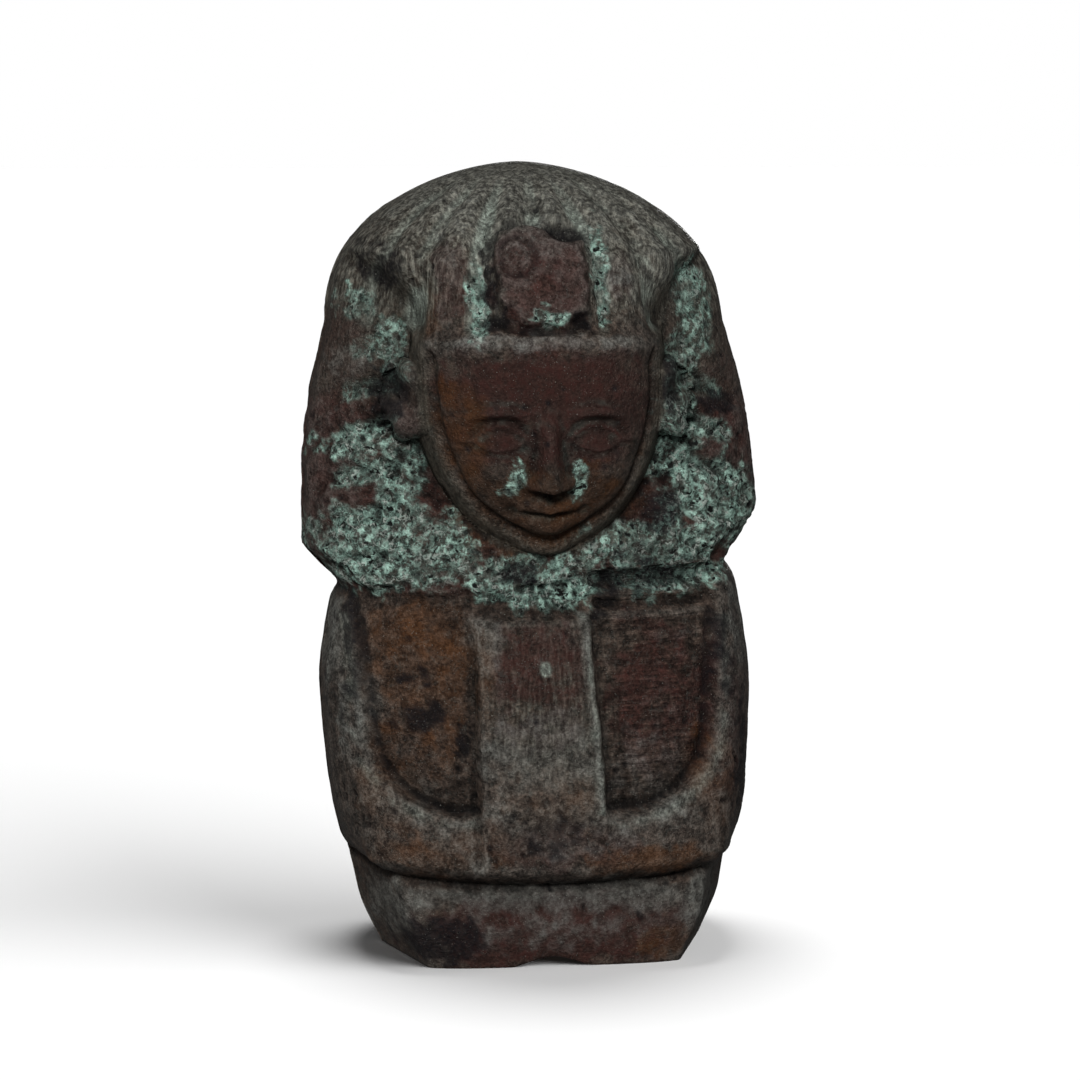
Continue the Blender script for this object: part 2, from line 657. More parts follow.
DARKENED = [
    (-14.8, 57.6, 1.5, 4.0, 0.9),
    (11.6, 45.6, 2.6, 2.0, 1.0),
    (-3.0, 39.8, 2.4, 1.0, 1.0),
    (2.9, 73.6, 2.0, 1.0, 1.0),
    (-11.4, 3.0, 4.2, 2.4, 1.15),
    (-12.6, 25.6, 2.6, 1.8, 0.8),
    (-12.9, 29.2, 1.8, 1.0, 0.7),
    (18.6, 56.4, 2.6, 1.0, 1.0),
    (-15.0, 70.0, 2.2, 2.4, 0.7),
    (-18.5, 32.0, 0.9, 7.0, 0.6),
    (17.8, 30.0, 1.0, 7.0, 0.5),
    (10.8, 39.8, 5.4, 2.6, 0.6),
    (12.8, 58.4, 0.9, 3.0, 0.9),
    (19.8, 20.0, 1.4, 9.0, 0.6),
    (0.0, 14.0, 4.4, 2.6, 0.5),
    (-4.6, 65.4, 1.3, 0.9, 1.0),
    (3.4, 64.8, 1.2, 0.8, 0.9),
    (-8.6, 23.3, 0.6, 1.5, 1.0),
    (6.0, 38.0, 1.6, 2.6, 0.9),
    (-5.0, 69.0, 0.5, 3.6, 0.8),
]
DUSTED = [
    (0.0, 77.6, 14.0, 6.6, 1.0),
    (11.0, 71.0, 6.0, 5.0, 0.7),
    (-1.0, 62.9, 10.4, 1.1, 0.55),
    (-20.6, 34.0, 1.0, 5.4, 1.0),
    (-6.4, 32.6, 2.0, 3.0, 0.7),
    (-18.0, 26.0, 1.6, 7.0, 0.6),
    (-14.6, 17.6, 3.4, 2.4, 0.6),
    (-8.6, 14.4, 3.4, 2.0, 0.6),
    (-1.0, 22.0, 6.2, 4.2, 0.78),
    (0.0, 15.0, 8.0, 3.6, 0.55),
    (10.6, 20.0, 4.4, 4.0, 0.4),
    (0.0, 7.2, 15.0, 1.7, 1.2),
    (-16.4, 5.4, 2.2, 3.6, 0.8),
    (1.0, 4.0, 9.0, 2.8, 0.4),
    (15.6, 5.4, 2.4, 4.6, 0.9),
    (19.6, 34.0, 1.8, 5.0, 0.6),
    (13.6, 15.6, 4.4, 2.4, 0.5),
    (-7.6, 11.4, 1.2, 1.6, 0.9),
    (-18.0, 60.4, 2.2, 1.4, 0.7),
]


def ribs_on_dome(z, angle):
    """How much of the dome's ribs shows: only those over the brow, and not at the crown."""
    over_brow = smooth(BROW_BAND + 0.6, BROW_BAND + 2.2, z)
    over_brow = over_brow * (1 - smooth(0.955 * HEIGHT, 0.985 * HEIGHT, z))
    return np.where(np.cos(angle) > 0, over_brow * (1 - smooth(0.8, 1.1, np.abs(angle))), 0)


def strip_border(x, z):
    """The raised border down the right of the strip, over the arms' height."""
    right = strip_sides(z)[1]
    return hump(x - right + STRIP_BORDER_INSET, 0.9) * (z < STRIP_TOP + 0.5) * (z > ARMS_TOP)


def clear_of_panel(x, z):
    """0 on the brow panel and 1 a little way off it."""
    return smooth(0.95, 1.15, out_from_uraeus(x, z))


def rib_layout(x, z, angle):
    """Where each rib's grooves lie, in turns, and how deep they are cut, in millimetres."""
    front = np.cos(angle) > 0
    side = np.abs(x)
    flank = 1 - 0.8 * smooth(0.75, 1, np.abs(np.sin(angle)))
    slant = STRIPE_SLANT * (np.where(front, side, WING_HALF_WIDTH) - FACE_HALF_WIDTH)
    clear = np.where(front, smooth(0.6, 2.2, side - head_half_width(z)), 1 - in_tail(x, z))
    wing = in_cloth(x, z) * clear * flank * STRIPE_DEPTH
    dome = DOME_RIB_DEPTH * ribs_on_dome(z, angle) * clear_of_panel(x, z)
    left, right = strip_sides(z)
    panel = smooth(right + 0.2, right + 1, x) * hump(z - 0.47 * HEIGHT, 12) * in_opening(x, z)
    lappet = np.where(front, mix(LAPPET_LINE_DEPTH, LAPPET_TOP_DEPTH, smooth(34, 36, z)) * panel, 0)
    strip = smooth(left - 3, left - 2, x) * (1 - smooth(right - 0.8, right, x))
    strip = STRIP_LINE_DEPTH * strip * smooth(ARMS_TOP, ARMS_TOP + 3, z) * (z < STRIP_TOP)
    depths = np.stack([wing, dome, lappet, np.where(front, strip, 0)])
    phases = np.stack([
        (z + slant + STRIPE_SHIFT) / STRIPE_PITCH + 0.5,
        (angle - DOME_RIB_TURN) * DOME_RIBS / (2 * math.pi),
        z / LAPPET_LINE_PITCH + 0.1,
        x / STRIP_LINE_PITCH,
    ])
    chosen = depths.argmax(axis=0)[None]
    return np.take_along_axis(phases, chosen, 0)[0], np.take_along_axis(depths, chosen, 0)[0]


class Value:
    """A node's output. Python's operators on it add Math nodes."""

    def __init__(self, nodes, socket):
        self.nodes = nodes
        self.socket = socket

    def math(self, operation, first, second):
        return self.nodes.add("ShaderNodeMath", {"operation": operation}, {0: first, 1: second})

    def __add__(self, other):
        return self.math("ADD", self, other)

    __radd__ = __add__

    def __sub__(self, other):
        return self.math("SUBTRACT", self, other)

    def __rsub__(self, other):
        return self.math("SUBTRACT", other, self)

    def __mul__(self, other):
        return self.math("MULTIPLY", self, other)

    __rmul__ = __mul__

    def __pow__(self, other):
        return self.math("POWER", self, other)


class Nodes:
    """Adds nodes to a tree."""

    def __init__(self, tree):
        self.tree = tree

    def add(self, kind, settings=None, inputs=None, output=0):
        """Adds a node of a kind with its settings, then fills or links its sockets."""
        node = self.tree.nodes.new(kind)
        for name, setting in (settings or {}).items():
            setattr(node, name, setting)
        for name, value in (inputs or {}).items():
            if isinstance(value, Value):
                self.tree.links.new(value.socket, node.inputs[name])
            else:
                node.inputs[name].default_value = value
        return None if output is None else Value(self, node.outputs[output])


def pressed_ribs_tree():
    """Geometry Nodes that press round grooves into a surface, from its rib_turns and rib_depth."""
    tree = bpy.data.node_groups.new("pressed_ribs", "GeometryNodeTree")
    interface = tree.interface
    interface.new_socket("Geometry", in_out="INPUT", socket_type="NodeSocketGeometry")
    for name, value in (("Depth", 1.0), ("Roundness", 1.5)):
        socket = interface.new_socket(name, in_out="INPUT", socket_type="NodeSocketFloat")
        socket.default_value = value
    interface.new_socket("Material", in_out="INPUT", socket_type="NodeSocketMaterial")
    interface.new_socket("Geometry", in_out="OUTPUT", socket_type="NodeSocketGeometry")
    nodes = Nodes(tree)
    given = tree.nodes.new("NodeGroupInput")
    sizes = [Value(nodes, socket) for socket in given.outputs]
    geometry, depth, roundness, material = sizes[:4]
    turns = nodes.add("GeometryNodeInputNamedAttribute", {"data_type": "FLOAT"}, {"Name": "rib_turns"})
    cut = nodes.add("GeometryNodeInputNamedAttribute", {"data_type": "FLOAT"}, {"Name": "rib_depth"})
    wave = nodes.add("ShaderNodeMath", {"operation": "COSINE"}, {0: turns * (2 * math.pi)})
    groove = (wave * 0.5 + 0.5) ** roundness
    normal = nodes.add("GeometryNodeInputNormal")
    inputs = {"Vector": normal, "Scale": groove * cut * depth * -MM}
    inwards = nodes.add("ShaderNodeVectorMath", {"operation": "SCALE"}, inputs)
    moved = nodes.add("GeometryNodeSetPosition", {}, {"Geometry": geometry, "Offset": inwards})
    real = nodes.add("GeometryNodeRealizeInstances", {}, {"Geometry": moved})
    done = nodes.add("GeometryNodeSetMaterial", {}, {"Geometry": real, "Material": material})
    result = tree.nodes.new("NodeGroupOutput")
    tree.links.new(done.socket, result.inputs[0])
    return tree


def hollows(grid, reach):
    """How far each point of a grid lies below its neighbours at a reach of some columns and rows."""
    rows = len(grid)
    above = grid[np.maximum(np.arange(rows) - reach, 0)]
    below = grid[np.minimum(np.arange(rows) + reach, rows - 1)]
    around = above + below + np.roll(grid, reach, 1) + np.roll(grid, -reach, 1)
    return around / 4 - grid


def surface_normals(grid):
    along = np.roll(grid, -1, 1) - np.roll(grid, 1, 1)
    rows = len(grid)
    upward = grid[np.maximum(np.arange(rows) - 1, 0)] - grid[np.minimum(np.arange(rows) + 1, rows - 1)]
    normal = np.cross(along, upward)
    return normal / np.maximum(np.linalg.norm(normal, axis=-1, keepdims=True), 1e-12)


class Surface:
    """Where the casting's points lie, and the noise that age gives them."""

    def __init__(self, grid, plain, angle):
        self.x, self.z, self.angle = plain[..., 0], plain[..., 2], angle
        self.points = grid.reshape(-1, 3)
        self.front = ahead(angle)
        self.slow = self.spread(SLOW_LUMPS, 1)
        self.middling = self.spread(MIDDLING_LUMPS, 2)
        self.fine = self.spread(FINE_LUMPS, 3)
        self.pits = cells(self.points, PIT_SPACING, 4).reshape(self.x.shape)
        self.ragged = 0.5 * self.middling + 0.3 * self.fine
        self.astray = self.x + WANDER * self.middling, self.z + WANDER * self.spread(WANDER_LUMPS, 5)
        self.outside_arms = outside_arms(self.x, self.z)
        self.by_arm = self.front * beside_strip(self.x, self.z) * (self.z > lap_line(self.x) + 1)
        self.border = strip_border(self.x, self.z) * self.front

    def spread(self, size, seed):
        return lumps(self.points, size, seed).reshape(self.x.shape)

    def region(self, places, behind, softness=0.25):
        """A ragged mask of the places in front, and of what is given for the back."""
        mask = mix(behind, patches(*self.astray, places), self.front)
        return smooth(0.5 - softness, 0.5 + softness, mask + self.ragged * smooth(0, 0.1, mask))


def head_masks(at):
    """The whole head, the cloth's rim on it, and the face."""
    out = out_from_face(at.x, at.z)
    head = (1 - smooth(RIM_OUTER, RIM_OUTER + 0.06, out)) * smooth(CHIN - 1, CHIN, at.z) * at.front
    rim = head * smooth(RIM_INNER, RIM_INNER + 0.04, out) * (1 - smooth(BROW_BAND + 4, BROW_BAND + 8, at.z))
    within_rim = 1 - smooth(RIM_INNER - 0.04, RIM_INNER, out)
    face = head * within_rim * (1 - smooth(BROW_BAND - 2, BROW_BAND, at.z))
    return head, rim, face


def crust_and_red(at, wing, rim):
    """Green crust, thickest in the wings' grooves, and red metal on the ribs between them."""
    turns, depth = rib_layout(at.x, at.z, at.angle)
    groove = (0.5 + 0.5 * np.cos(2 * math.pi * turns)) * smooth(0.2, 0.4, depth)
    behind = smooth(-0.1, 0.5, at.slow) * 0.6 * smooth(0.36 * HEIGHT, 0.46 * HEIGHT, at.z)
    crust = at.region(CRUSTED, behind) * (1 - 0.35 * wing * (1 - groove))
    crust = crust + mix(0.45, 0.85, at.front) * wing * smooth(0.35, 0.9, groove + 0.5 * at.ragged)
    red = at.region(REDDENED, 0.6 * smooth(-0.1, 0.4, -at.slow), 0.4)
    red = np.maximum(red, 0.85 * wing * smooth(0.5, 0.1, groove))
    return np.clip(crust, 0, 1) * (1 - rim), red


def dust_mask(at):
    """Grey dust in its patches, on the strip's border and on the arms' inner edge."""
    dust = at.region(DUSTED, 0.7 * smooth(-0.3, 0.5, at.middling + at.slow), 0.5)
    dust = np.maximum(dust, at.border * smooth(-1.2, -0.4, at.middling))
    edge = 0.55 * hump(at.outside_arms - 1.2, 1.3) * at.by_arm * smooth(-0.6, 0.3, at.middling)
    on_panel = at.front * (out_from_uraeus(at.x, at.z) < 1)
    return np.maximum(dust, edge) * (1 - 0.8 * on_panel) * mix(0.75, 1, smooth(60, 68, at.z))


def dark_mask(at):
    """Black corrosion in its patches, under the arms' edge, round the brow panel and in its ring."""
    under_arm = 0.9 * hump(at.outside_arms + 0.4, 0.5) * at.by_arm * smooth(-0.6, 0, at.fine)
    ditch = hump(out_from_uraeus(at.x, at.z) - 1.05, 0.12) * (at.x < 3) * at.front
    ring = hump(off_ring(at.x, at.z) - 0.05, 0.4) * at.front
    dark = np.maximum(at.region(DARKENED, 0), under_arm)
    dark = np.maximum(dark, 0.8 * ditch * smooth(-0.5, 0, at.fine))
    return np.maximum(dark, 0.5 * ring * smooth(-0.7, -0.1, at.middling))


def stripe_mask(at):
    """Pale lines: the dome's grooves, a chip in the strip, its border and the arms' inner edge."""
    stripe = smooth(0.62, 0.98, 0.5 + 0.5 * np.cos((at.angle - DOME_RIB_TURN) * DOME_RIBS))
    stripe = stripe * ribs_on_dome(at.z, at.angle) * clear_of_panel(at.x, at.z)
    stripe = stripe * smooth(0.7, -0.3, at.slow + 0.4 * at.middling + 0.02 * at.x)
    chip_x, chip_z, chip_half_width, chip_half_height = STRIP_CHIP
    off_chip = np.hypot((at.x - chip_x) / chip_half_width, (at.z - chip_z) / chip_half_height)
    inner_edge = hump(at.outside_arms - 0.9, 0.8) * at.by_arm
    stripe = np.maximum(stripe, (1 - smooth(0.75, 1.1, off_chip)) * at.front)
    stripe = np.maximum(stripe, 0.45 * at.border * smooth(-0.5, 0.3, at.middling))
    return np.maximum(stripe, 0.3 * inner_edge * smooth(-0.5, 0.4, at.middling + at.slow))


def grain_mask(at, rim):
    """The fibrous grain of the dome, the strip and the rim, which leaves out the brow panel."""
    grain = smooth(64, 67, at.z) + 0.7 * at.front * hump(at.x, 9) * hump(at.z - 27, 11) + 0.5 * rim
    return np.clip(grain, 0, 1) * (1 - smooth(1.05, 0.9, out_from_uraeus(at.x, at.z)) * at.front)


def patina_masks(at):
    """How strongly each kind of patina shows at each point, from 0 to 1."""
    head, rim, face = head_masks(at)
    wing = in_cloth(at.x, at.z) * (1 - head)
    crust, red = crust_and_red(at, wing, rim)
    right = strip_sides(at.z)[1]
    lap = at.front * smooth(0.4, -0.4, at.z - lap_line(at.x))
    masks = {"crust": crust, "red": red, "warm": at.region(WARMED, 0, 0.4), "dark": dark_mask(at)}
    masks |= {"dust": dust_mask(at), "stripe": stripe_mask(at), "grain": grain_mask(at, rim)}
    masks |= {"face": face, "rim": rim, "grains": smooth(-0.35, 0.45, at.fine + 0.3 * at.middling)}
    masks |= {"level": at.front * in_opening(at.x, at.z) * smooth(right, right + 1, at.x)}
    masks |= {"calm": np.maximum(face, lap), "wing": wing}
    return masks


def wear(grid, plain, angle):
    """Raises and cuts the surface with age, and says where each kind of patina lies."""
    at = Surface(grid, plain, angle)
    masks = patina_masks(at)
    crust, dark, wing = masks["crust"], masks["dark"], masks.pop("wing")
    pit = smooth(0.3, 0.1, at.pits) * smooth(-0.1, 0.25, at.slow + 0.7 * crust - 0.2)
    quiet = 1 - 0.8 * np.maximum(masks["face"], masks["rim"])
    rough = SLOW_RISE * at.slow + (MIDDLING_RISE + WING_ROUGHNESS * wing) * at.middling
    height = rough * quiet + FINE_RISE * at.fine - WORN_OFF
    height += crust * quiet * (CRUST_RISE * (masks["grains"] - 0.6) + 0.12 * at.middling)
    height -= (PIT_DEPTH * pit + DARK_DEPTH * dark * smooth(0, 0.5, at.fine + 0.3)) * quiet
    height *= 1 - smooth(0.96 * HEIGHT, 0.985 * HEIGHT, at.z)
    height *= mix(0.35, 1, 1 - smooth(0.9, 1, np.abs(np.sin(angle))))
    masks["dark"] = np.maximum(dark, pit)
    return height, masks


def new_mesh(name, vertices, faces):
    mesh = bpy.data.meshes.new(name)
    mesh.from_pydata(vertices.tolist(), [], faces)
    mesh.validate()
    return mesh


def add_attribute(mesh, name, values):
    attribute = mesh.attributes.new(name, "FLOAT", "POINT")
    attribute.data.foreach_set("value", np.ascontiguousarray(values, np.float32))


def with_poles(grid):
    """The grid's points as one list, with the middles of the crown and the foot at its end."""
    crown = grid[0].mean(axis=0)
    under = grid[-1].mean(axis=0)
    return np.vstack([grid.reshape(-1, grid.shape[-1]), crown, under])


def close_foot(grid):
    """Adds rings under the foot, drawn in to its middle."""
    sole = grid[-1]
    middle = sole.mean(axis=0)
    rings = [middle + (sole - middle) * share for share in SOLE_RINGS]
    return np.concatenate([grid, np.stack(rings)])


def press_ribs(figure, bronze):
    """Runs the ribs' nodes over the figure and keeps the result as a plain mesh."""
    tree = pressed_ribs_tree()
    modifier = figure.modifiers.new("ribs", "NODES")
    modifier.node_group = tree
    for item in tree.interface.items_tree:
        if item.in_out == "INPUT" and item.name == "Material":
            modifier[item.identifier] = bronze
    bpy.context.view_layer.update()
    evaluated = figure.evaluated_get(bpy.context.evaluated_depsgraph_get())
    mesh = bpy.data.meshes.new_from_object(evaluated)
    figure.modifiers.remove(modifier)
    figure.data = mesh
    return mesh


def set_in_place(carved, plain, cad_low, cad_high):
    """Leans the skin, arches the front of its foot, and puts it in the middle of the solid's box."""
    carved[..., 0] -= LEAN * carved[..., 2] / HEIGHT
    arch = hump(plain[..., 0] - ARCH_MIDDLE, ARCH_HALF_WIDTH)
    lift = FOOT_ARCH * arch * smooth(-ARCH_START, -ARCH_REACH, plain[..., 1])
    carved[..., 2] += lift * (1 - smooth(0, 5, carved[..., 2]))
    low, high = carved.reshape(-1, 3).min(axis=0), carved.reshape(-1, 3).max(axis=0)
    shift = (cad_low + cad_high) / 2 - (low + high) / 2
    return carved + shift


def age(body, plain, angle):
    """Wears the ribbed skin, and returns it with the masks that its patina reads."""
    height, masks = wear(body, plain, angle)
    height *= smooth(0, 1.2, body[..., 2])
    worn = body + surface_normals(body) * height[..., None]
    normal = surface_normals(worn)
    close = (hollows(worn, 3) * normal).sum(axis=-1)
    wide = (hollows(worn, 12) * normal).sum(axis=-1)
    hollow = smooth(0.01, 0.14, close) * 0.5 + smooth(0.08, 0.8, wide) * 0.7
    masks["hollow"] = hollow * smooth(0.05, 0.2, np.abs(np.cos(angle)))
    masks["edge"] = smooth(0.01, 0.12, -close) * 0.5 + smooth(0.08, 0.7, -wide) * 0.5
    return worn, masks


def bronze_casting(bronze, cad_box):
    cad_low, cad_high = np.array(cad_box[0]) / MM, np.array(cad_box[1]) / MM
    carved, angle, plain = casting_points()
    carved = set_in_place(carved, plain, cad_low, cad_high)
    grid = close_foot(carved)
    rows, body_rows = len(grid), len(carved)
    mesh = new_mesh("pharaoh_figure_cast", with_poles(grid) * MM, close_grid(rows))
    turns, depth = rib_layout(plain[..., 0], plain[..., 2], angle)
    under_foot = np.zeros((rows - body_rows) * COLUMNS + 2)
    add_attribute(mesh, "rib_turns", np.concatenate([turns.ravel(), under_foot]))
    add_attribute(mesh, "rib_depth", np.concatenate([depth.ravel(), under_foot]))
    figure = bpy.data.objects.new("bronze_casting", mesh)
    bpy.context.scene.collection.objects.link(figure)
    mesh = press_ribs(figure, bronze)
    ribbed = np.empty(len(mesh.vertices) * 3, np.float32)
    mesh.vertices.foreach_get("co", ribbed)
    ribbed = ribbed.reshape(-1, 3) / MM
    body = ribbed[: body_rows * COLUMNS].reshape(body_rows, COLUMNS, 3).astype(float)
    worn, masks = age(body, plain, angle)
    ribbed[: body_rows * COLUMNS] = np.clip(worn, cad_low, cad_high).reshape(-1, 3)
    mesh.vertices.foreach_set("co", (ribbed * MM).astype(np.float32).ravel())
    for name, values in masks.items():
        add_attribute(mesh, name, np.concatenate([values.ravel(), under_foot]))
    mesh.polygons.foreach_set("use_smooth", [True] * len(mesh.polygons))
    mesh.update()
    return figure


# Colours of the metal and of what lies on it
DARK_METAL = (0.033, 0.024, 0.019, 1)
BROWN_METAL = (0.095, 0.068, 0.053, 1)
RED_METAL = (0.056, 0.021, 0.017, 1)
ORANGE_METAL = (0.095, 0.037, 0.012, 1)
GREY_DUST = (0.215, 0.230, 0.212, 1)
DARK_GRAIN = (0.074, 0.070, 0.054, 1)
PALE_GRAIN = (0.205, 0.202, 0.168, 1)
SMOOTH_RIM = (0.060, 0.052, 0.040, 1)
PALE_LINE = (0.330, 0.380, 0.325, 1)
DEEP_GREEN = (0.040, 0.075, 0.060, 1)
PALE_GREEN = (0.620, 0.920, 0.780, 1)
PALE_FIBRE = (0.560, 0.620, 0.560, 1)
BLACK_HOLE = (0.010, 0.011, 0.010, 1)
BLACK_STAIN = (0.009, 0.008, 0.010, 1)
BRIGHT_DOT = (0.420, 0.420, 0.370, 1)

MASKS = (
    "crust", "red", "warm", "dark", "dust", "stripe", "grain", "face", "rim", "grains", "hollow",
    "edge", "level", "calm",
)


class Patina(Nodes):
    """Adds the nodes of the patina, whose patterns run over the casting in millimetres."""

    def __init__(self, tree):
        super().__init__(tree)
        place = self.add("ShaderNodeTexCoord", {}, {}, output=3)
        self.place = self.stretched(place, (1 / MM, 1 / MM, 1 / MM))
        self.upright = self.stretched(self.place, (1, 1, 0.13))
        self.sideways = self.stretched(self.place, (0.15, 0.15, 1))
        inputs = {"Vector": self.place, "Scale": 1.3, "Detail": 3}
        push = self.add("ShaderNodeTexNoise", {}, inputs, output=1)
        inputs = {0: push, 1: (1.5, 1.5, 1.5), 2: self.place}
        self.bent = self.add("ShaderNodeVectorMath", {"operation": "MULTIPLY_ADD"}, inputs)

    def stretched(self, place, scale):
        return self.add("ShaderNodeMapping", {}, {"Vector": place, "Scale": scale})

    def mask(self, name):
        return self.add("ShaderNodeAttribute", {"attribute_name": name}, {}, output=2)

    def between(self, value, low, high):
        inputs = {0: value, 1: low, 2: high}
        return self.add("ShaderNodeMapRange", {"interpolation_type": "SMOOTHSTEP"}, inputs)

    def speckle(self, scale, detail, low, high, roughness=0.6, over=None):
        inputs = {"Vector": over or self.place, "Scale": scale, "Detail": detail, "Roughness": roughness}
        return self.between(self.add("ShaderNodeTexNoise", {}, inputs), low, high)

    def pricks(self, scale, low, high):
        """Small round spots, scattered over the bent pattern."""
        cell = self.add("ShaderNodeTexVoronoi", {}, {"Vector": self.bent, "Scale": scale})
        return 1 - self.between(cell, low, high)

    def strands(self, scale, reach):
        """Thin wandering lines, where a smooth noise passes through its middle value."""
        field = self.add("ShaderNodeTexNoise", {}, {"Vector": self.bent, "Scale": scale, "Detail": 1})
        off_line = self.add("ShaderNodeMath", {"operation": "ABSOLUTE"}, {0: field - 0.5})
        return 1 - self.between(off_line, 0.3 * reach, reach)

    def blend(self, under, over, amount):
        return self.add("ShaderNodeMix", {"data_type": "RGBA"}, {0: amount, 6: under, 7: over}, output=2)

    def shade(self, colour, amount):
        settings = {"data_type": "RGBA", "blend_type": "MULTIPLY"}
        return self.add("ShaderNodeMix", settings, {0: amount, 6: colour, 7: (0, 0, 0, 1)}, output=2)

    def limit(self, value):
        return self.add("ShaderNodeClamp", {}, {0: value})


def patterns(paint):
    """The grain of the metal, the dust and the crust, from the broadest to the finest."""
    holes = paint.pricks(1.05, 0.16, 0.42) * paint.speckle(0.7, 3, 0.44, 0.54)
    pinholes = paint.pricks(2.6, 0.14, 0.34) * paint.speckle(1.6, 3, 0.46, 0.58)
    long_fibres = paint.strands(0.5, 0.022) * paint.speckle(0.5, 2, 0.47, 0.56)
    short_fibres = paint.strands(0.9, 0.04) * paint.speckle(0.8, 2, 0.5, 0.58)
    clumps = 0.55 + 0.6 * paint.speckle(0.34, 3, 0.4, 0.58)
    return SimpleNamespace(
        broad=paint.speckle(0.22, 4, 0.38, 0.62),
        mottle=paint.speckle(0.9, 5, 0.36, 0.64),
        grit=paint.speckle(3.1, 4, 0.36, 0.64),
        fine_grit=paint.speckle(7.5, 3, 0.34, 0.66),
        dots=paint.speckle(6.4, 2, 0.66, 0.74),
        streaks=paint.speckle(2.6, 4, 0.36, 0.64, over=paint.upright),
        layers=paint.speckle(2.4, 4, 0.36, 0.64, over=paint.sideways),
        holes=paint.limit(holes + pinholes * 0.6),
        fibres=paint.limit(long_fibres + short_fibres),
        broken=paint.speckle(1.4, 6, 0.41, 0.56, roughness=0.66) * clumps,
    )


def bare_metal(paint, on, by):
    """Dark brown metal with red and orange patches."""
    colour = paint.blend(DARK_METAL, BROWN_METAL, by.mottle * 0.6 + by.grit * 0.4)
    colour = paint.blend(colour, RED_METAL, paint.limit(on.red * (0.6 + 0.4 * by.mottle)))
    return paint.blend(colour, ORANGE_METAL, paint.limit(on.warm * (0.35 + 0.5 * by.broad)))


def with_dust(paint, on, by, colour):
    """Grey dust, the fibrous grain of the dome and the strip, the smooth rim and the pale lines."""
    dusty = (0.8 * on.dust + 0.3 * on.edge) * (1 - 0.3 * on.warm) * (1 - 0.8 * on.face)
    dusty = dusty * (0.28 + 0.2 * by.grit + 0.3 * by.mottle)
    colour = paint.blend(colour, GREY_DUST, paint.limit(dusty))
    grained = on.grain * (0.35 + 0.35 * by.streaks) * (1 - 0.7 * on.red)
    colour = paint.blend(colour, paint.blend(DARK_GRAIN, PALE_GRAIN, by.streaks), paint.limit(grained))
    colour = paint.blend(colour, SMOOTH_RIM, paint.limit(on.rim * 0.75))
    striped = on.stripe * (0.65 + 0.35 * by.streaks) * (0.7 + 0.3 * by.grit)
    return paint.blend(colour, PALE_LINE, paint.limit(striped))


def with_contrast(paint, on, by, colour):
    """Lighter and darker grain, which is calmer on the face and the lap."""
    gritty = (0.55 * by.grit + 0.35 * by.fine_grit) * (1 - 0.4 * on.grain)
    contrast = 0.2 + gritty + 0.4 * by.mottle + 0.17 * on.grain
    contrast = (0.93 + (contrast - 0.93) * (1 - 0.45 * on.calm) + 0.15 * by.broad) * (1 - 0.2 * on.face)
    contrast = contrast * (1 + on.grain * (by.streaks - 0.5) * 0.7 + on.level * (by.layers - 0.5) * 0.7)
    return paint.add("ShaderNodeVectorMath", {"operation": "SCALE"}, {0: colour, "Scale": contrast})


def with_crust(paint, on, by, colour):
    """Pale green crust with its fibres and holes, black stains, shaded hollows and bright dots."""
    green = paint.blend(DEEP_GREEN, PALE_GREEN, by.mottle * 0.55 + by.fine_grit * 0.25 + by.grit * 0.2)
    covered = on.crust * (0.25 * on.grains + 0.35 + 0.7 * by.broken) * (0.35 + 0.75 * by.broken)
    covered = covered + 0.12 * on.hollow * on.face * by.mottle
    colour = paint.shade(colour, paint.limit(on.crust * 0.55))
    colour = paint.blend(colour, green, paint.limit(covered))
    fibrous = by.fibres * (0.04 + 0.75 * on.crust) * (1 - 0.8 * on.face)
    colour = paint.blend(colour, PALE_FIBRE, paint.limit(fibrous))
    colour = paint.blend(colour, BLACK_HOLE, paint.limit(by.holes * (1.4 * on.crust + 0.15)))
    colour = paint.blend(colour, BLACK_STAIN, paint.limit(on.dark * (0.6 + 0.35 * by.grit)))
    colour = paint.shade(colour, paint.limit(on.hollow * 0.65 * (1 - 0.5 * on.grain)))
    return paint.blend(colour, BRIGHT_DOT, by.dots * 0.45)


def aged_bronze():
    """Dark red-brown bronze with warm bare patches, grey dust and pale green crust."""
    material = bpy.data.materials.new("aged_bronze")
    material.use_nodes = True
    material.node_tree.nodes.clear()
    paint = Patina(material.node_tree)
    on = SimpleNamespace(**{name: paint.mask(name) for name in MASKS})
    by = patterns(paint)
    colour = with_dust(paint, on, by, bare_metal(paint, on, by))
    colour = with_crust(paint, on, by, with_contrast(paint, on, by, colour))
    shine = paint.limit(0.5 + 0.35 * on.crust + 0.25 * on.dust + 0.15 * by.mottle)
    metal = paint.limit(0.25 - 0.25 * on.crust - 0.2 * on.dust)
    height = by.grit * 0.5 + by.mottle * 0.5 + by.fine_grit * 0.3
    height = height + by.streaks * on.grain * 0.5 + by.layers * on.level * 0.8
    height = height + by.broken * on.crust * 0.8 - by.holes * on.crust * 1.6
    bump = paint.add("ShaderNodeBump", {}, {"Strength": 0.85, "Distance": 0.00018, "Height": height})
    inputs = {"Base Color": colour, "Roughness": shine, "Metallic": metal, "Normal": bump}
    surface = paint.add("ShaderNodeBsdfPrincipled", {}, inputs | {"Specular IOR Level": 0.16})
    paint.add("ShaderNodeOutputMaterial", {}, {"Surface": surface}, output=None)
    return material


def plain_material(name, colour, roughness):
    material = bpy.data.materials.new(name)
    material.use_nodes = True
    surface = material.node_tree.nodes["Principled BSDF"]
    surface.inputs["Base Color"].default_value = colour
    surface.inputs["Roughness"].default_value = roughness
    return material


